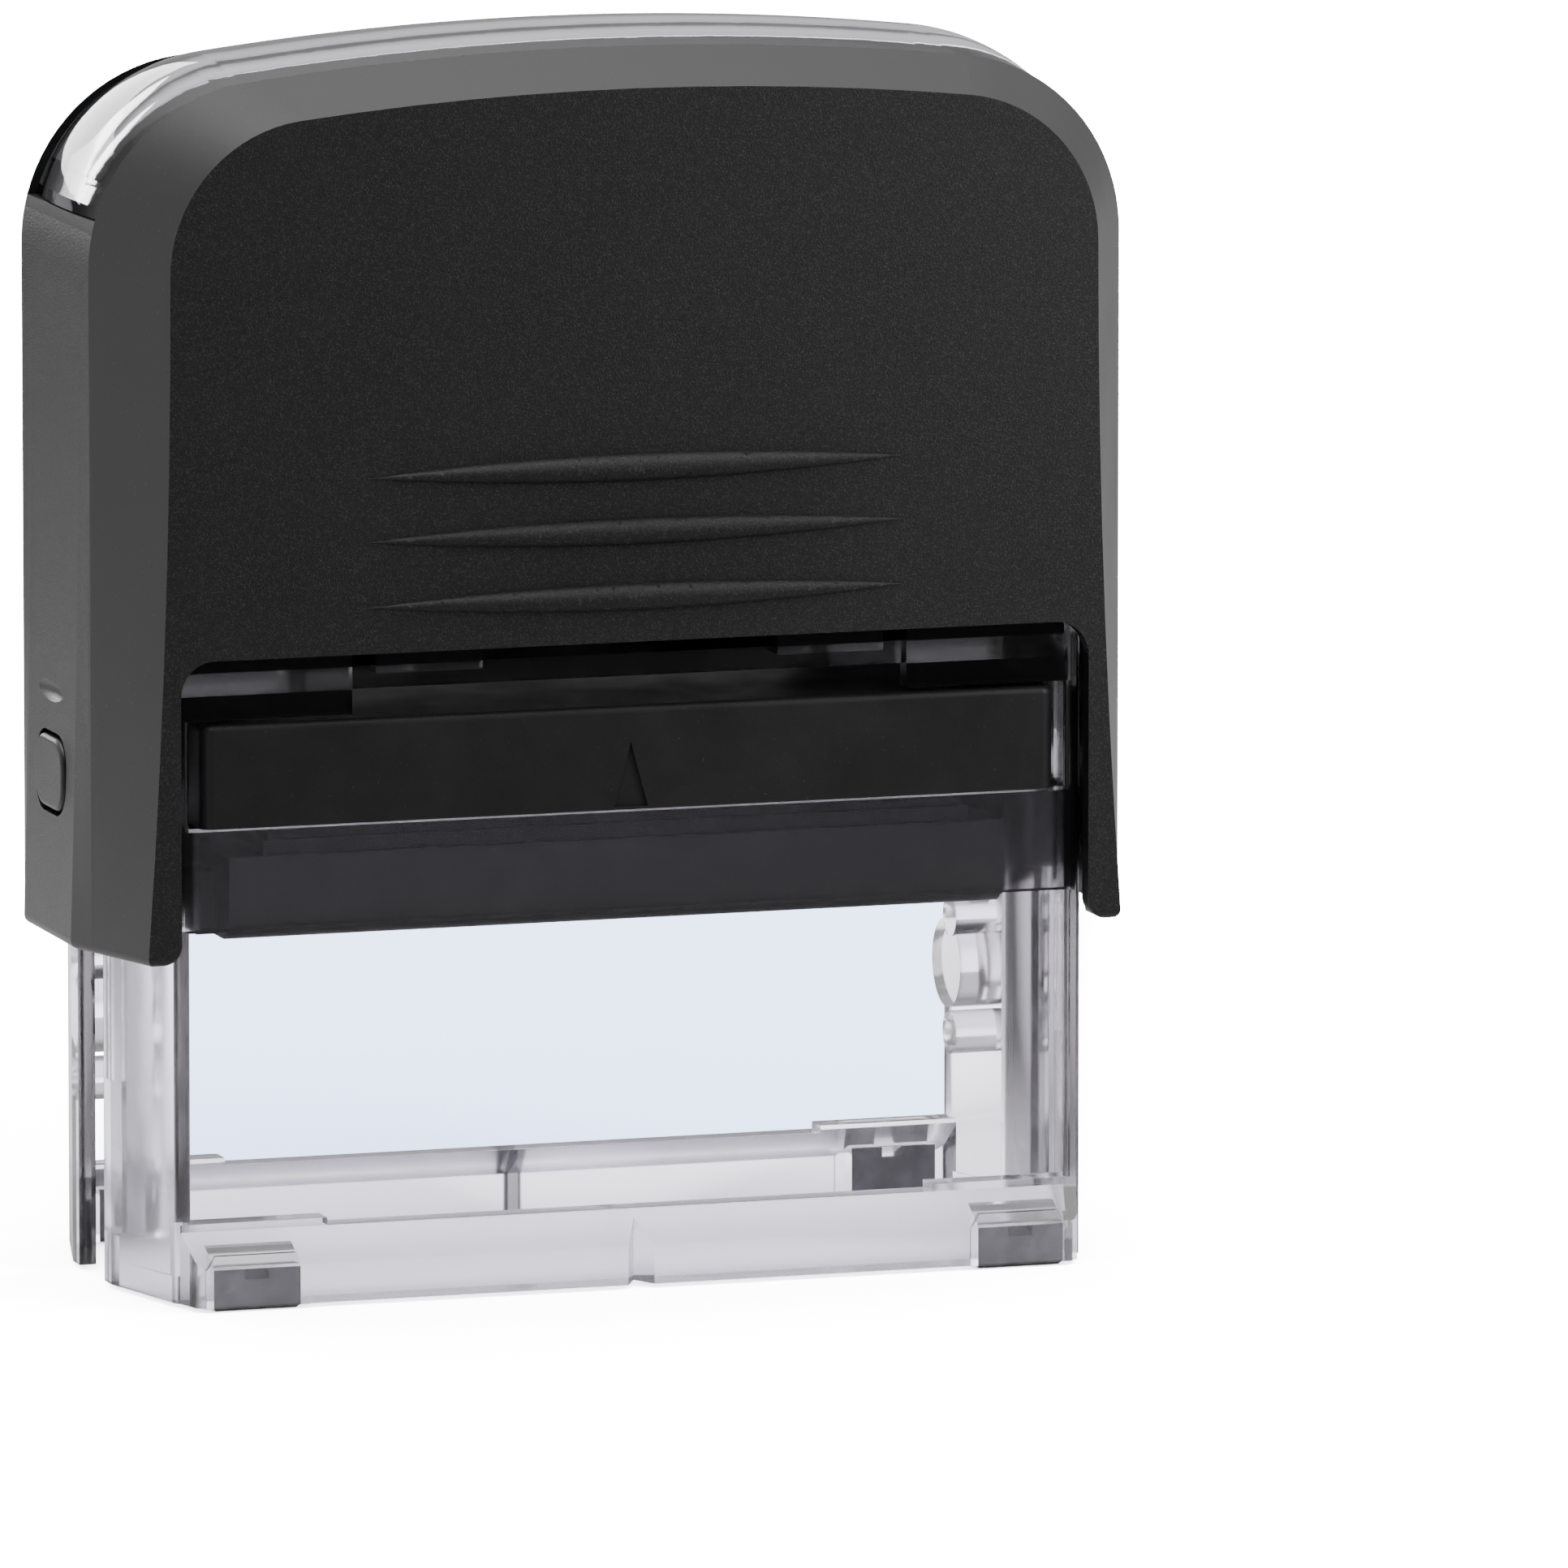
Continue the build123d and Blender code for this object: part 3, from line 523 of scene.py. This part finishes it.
def floor_in_reflections(tree, x, y, distance):
    """How bright the floor is in mirror reflections: bright close behind the stamp, dark in front."""
    sideways = math_node(tree, "DIVIDE", x, math_node(tree, "ADD", distance, 1 * MM))
    beside = band(tree, math_node(tree, "ABSOLUTE", sideways), BESIDE)
    far_behind = remap(tree, sideways, STRAIGHT_SIDEWAYS, FLOOR_FAR)
    behind = remap(tree, distance, REFLECTED_REACH, (FLOOR_NEAR, far_behind), smooth=True)
    behind = mix_value(tree, beside, behind, remap(tree, sideways, WIDE_SIDEWAYS, FLOOR_BESIDE))
    front = mix_value(tree, beside, FRONT_DARK, FRONT_SIDE)
    return mix_value(tree, band(tree, y, FRONT_TO_BACK), front, behind)


def window_shadow_strip(tree, along, across):
    """1 on the strip of floor that the camera sees through the window of the base, where a painted shadow
    darkens the floor; 0 elsewhere.
    """
    widening = math_node(tree, "ADD", 1.0, math_node(tree, "DIVIDE", along, CAMERA_DISTANCE))
    spread = math_node(tree, "DIVIDE", math_node(tree, "ABSOLUTE", across), widening)
    inside = remap(tree, spread, WINDOW_EDGE, (1.0, 0.0), smooth=True)
    far = remap(tree, along, WINDOW_FAR, (1.0, 0.0), smooth=True)
    return product(tree, inside, band(tree, along, WINDOW_NEAR), far)


def make_floor():
    bpy.ops.mesh.primitive_plane_add(size=FLOOR_SIZE, location=(0, 0, 0))
    floor = bpy.context.object
    floor.name = "floor"
    material = bpy.data.materials.new("pale_floor")
    material.use_nodes = True
    tree = material.node_tree
    tree.nodes.clear()
    place = add(tree, "SeparateXYZ", in_0=object_coordinates(tree))
    x, y = place.outputs[0], place.outputs[1]
    distance = add(tree, "VectorMath", operation="LENGTH", in_0=object_coordinates(tree)).outputs["Value"]
    back_x, back_y = -math.sin(CAMERA_AZIMUTH), math.cos(CAMERA_AZIMUTH)
    along = math_node(tree, "ADD", product(tree, x, back_x), product(tree, y, back_y))
    across = math_node(tree, "SUBTRACT", product(tree, x, back_y), product(tree, y, back_x))

    straight = math_node(tree, "DIVIDE", along, math_node(tree, "ADD", distance, 1 * MM))
    beneath = remap(tree, distance, BENEATH_REACH, (BENEATH_WHITE, 0.0), smooth=True)
    through = math_node(tree, "MAXIMUM", beneath, through_level(tree, straight, THROUGH_CLEAR))
    through = add(tree, "VectorMath", operation="SCALE", in_0=LILAC_TINT, in_Scale=through).outputs[0]
    # painted shadow: for the camera, the floor seen through the window is darker and cooler than the
    # white around it
    seen = mix_colour(tree, window_shadow_strip(tree, along, across), grey(SEEN_WHITE),
                      grey(WINDOW_SHADOW, WINDOW_SHADOW_TINT))

    path = add(tree, "LightPath")
    mirrored = floor_in_reflections(tree, x, y, distance)
    colour = mix_colour(tree, path.outputs["Is Glossy Ray"], grey(FLOOR_GREY), mirrored)
    colour = mix_colour(tree, path.outputs["Is Transmission Ray"], colour, through)
    colour = mix_colour(tree, path.outputs["Is Camera Ray"], colour, seen)
    surface = add(tree, "BsdfDiffuse", in_Color=colour)
    output = add(tree, "OutputMaterial")
    tree.links.new(surface.outputs[0], output.inputs[0])
    paint(material, floor)


def sky_in_reflections(tree, x, y, z):
    """How bright the room is in mirror reflections, for a direction: bright overhead, dark in front."""
    beside = band(tree, math_node(tree, "ABSOLUTE", x), BESIDE)
    straight_low = remap(tree, x, STRAIGHT_SIDEWAYS, HORIZON)
    horizon = mix_value(tree, beside, straight_low, remap(tree, x, WIDE_SIDEWAYS, HORIZON_BESIDE))
    high = mix_value(tree, beside, remap(tree, z, HIGH_SKY, HIGH), HIGH_BESIDE)
    behind = mix_value(tree, band(tree, z, LOW_SKY), horizon, high)
    front = mix_value(tree, beside, FRONT_DARK, FRONT_SIDE)
    level = mix_value(tree, band(tree, y, FORWARD_SKY), front, behind)
    return mix_value(tree, band(tree, z, OVERHEAD_SKY), level, OVERHEAD_WHITE)


def make_world():
    world = bpy.data.worlds.new("studio")
    bpy.context.scene.world = world
    world.use_nodes = True
    tree = world.node_tree
    tree.nodes.clear()
    direction = add(tree, "TexCoord").outputs["Generated"]
    axes = add(tree, "SeparateXYZ", in_0=direction)
    path = add(tree, "LightPath")
    straight = add(tree, "VectorMath", operation="DOT_PRODUCT", in_0=direction,
                   in_1=(-math.sin(CAMERA_AZIMUTH), math.cos(CAMERA_AZIMUTH), 0.0)).outputs["Value"]
    through = through_level(tree, straight, THROUGH_SKY)
    mirrored = sky_in_reflections(tree, *axes.outputs)
    level = mix_value(tree, path.outputs["Is Glossy Ray"], LIT_WHITE, mirrored)
    level = mix_value(tree, path.outputs["Is Transmission Ray"], level, through)
    level = mix_value(tree, path.outputs["Is Camera Ray"], level, SEEN_WHITE)
    tint = mix_colour(tree, path.outputs["Is Transmission Ray"], grey(1.0), grey(1.0, LILAC_TINT))
    background = add(tree, "Background", in_Strength=level, in_Color=tint)
    output = add(tree, "OutputWorld")
    tree.links.new(background.outputs[0], output.inputs[0])


def area_light(name, place, look_at, size, power):
    light = bpy.data.lights.new(name, "AREA")
    light.shape = "RECTANGLE"
    light.size, light.size_y = size
    light.energy = power
    lamp = bpy.data.objects.new(name, light)
    bpy.context.scene.collection.objects.link(lamp)
    lamp.location = place
    lamp.rotation_euler = (Vector(look_at) - Vector(place)).to_track_quat("-Z", "Y").to_euler()
    lamp.visible_camera = False


def make_camera():
    camera = bpy.data.cameras.new("camera")
    camera.lens = CAMERA_LENS
    camera.sensor_width = CAMERA_SENSOR
    camera.clip_start, camera.clip_end = CAMERA_CLIP
    holder = bpy.data.objects.new("camera", camera)
    bpy.context.scene.collection.objects.link(holder)
    back = Vector((math.sin(CAMERA_AZIMUTH) * math.cos(CAMERA_ELEVATION),
                   -math.cos(CAMERA_AZIMUTH) * math.cos(CAMERA_ELEVATION),
                   math.sin(CAMERA_ELEVATION)))
    holder.location = CAMERA_TARGET + back * CAMERA_DISTANCE
    holder.rotation_euler = (-back).to_track_quat("-Z", "Y").to_euler()
    bpy.context.scene.camera = holder


# ------------------------------------------------------------------ put it together

feet = [f"foot_{face}_{side}" for face in BOTH_FACES for side in BOTH_SIDES]
buttons = [f"lock_button_{side}" for side in BOTH_SIDES]

paint_nodes(casing_material(), "outer_casing", *buttons)
paint_nodes(satin_black("tray_black", specular=0.4, roughness=0.42), "ink_pad_tray")
paint_nodes(satin_black("holder_black", specular=0.5, roughness=0.45, tint=HOLDER_TINT), "die_holder")
paint_nodes(satin_black("plate_black", specular=0.35, roughness=0.38, tint=HOLDER_TINT), "text_plate")
paint_nodes(frame_material(), "base_frame")
paint_nodes(clear_material("clear_cover", COVER_TINT, roughness=(0.02, 0.05), ripple=0.004 * MM),
            "index_window")
paint_nodes(rubber_material("foot_rubber", level=0.11, roughness=0.62), *feet)
paint_nodes(rubber_material("die_rubber", level=0.022, roughness=0.5, tint=INKED_RUBBER_TINT),
            "rubber_die")
paint_nodes(inked_cloth_material("inked_cloth", strength=1.0), "ink_pad_cloth")
paint_nodes(inked_cloth_material("inked_felt", strength=0.6), "ink_pad")
paint_nodes(sheet_material("silver_card", level=0.32, roughness=0.5, fibre=0.3 * MM), "index_card")
paint_nodes(sheet_material("cushion_foam", level=0.03, roughness=0.8, fibre=0.15 * MM), "die_cushion")
make_springs()

smooth_edges("outer_casing", width=0.25 * MM)
smooth_edges("base_frame", width=0.12 * MM, segments=2)
smooth_edges("ink_pad_tray", width=0.12 * MM, segments=2)
smooth_edges("die_holder", width=0.2 * MM)
smooth_edges("index_window", width=0.15 * MM)
for button in buttons:
    smooth_edges(button, width=0.15 * MM)
for foot in feet:
    shrink_foot(foot)
    smooth_edges(foot, width=0.1 * MM, segments=2)

make_camera()
make_floor()
make_world()
area_light("softbox_rear", (-0.26, 1.6, 0.44), (0, 0, 0.07), size=(1.0, 0.5), power=10.5)
area_light("softbox_right", (0.095, -0.085, 0.09), (0.02, 0, 0.05), size=(0.04, 0.06), power=0.05)
area_light("softbox_top", (-0.05, -0.25, 0.4), (0, -0.015, 0.06), size=(0.15, 0.1), power=0.1)
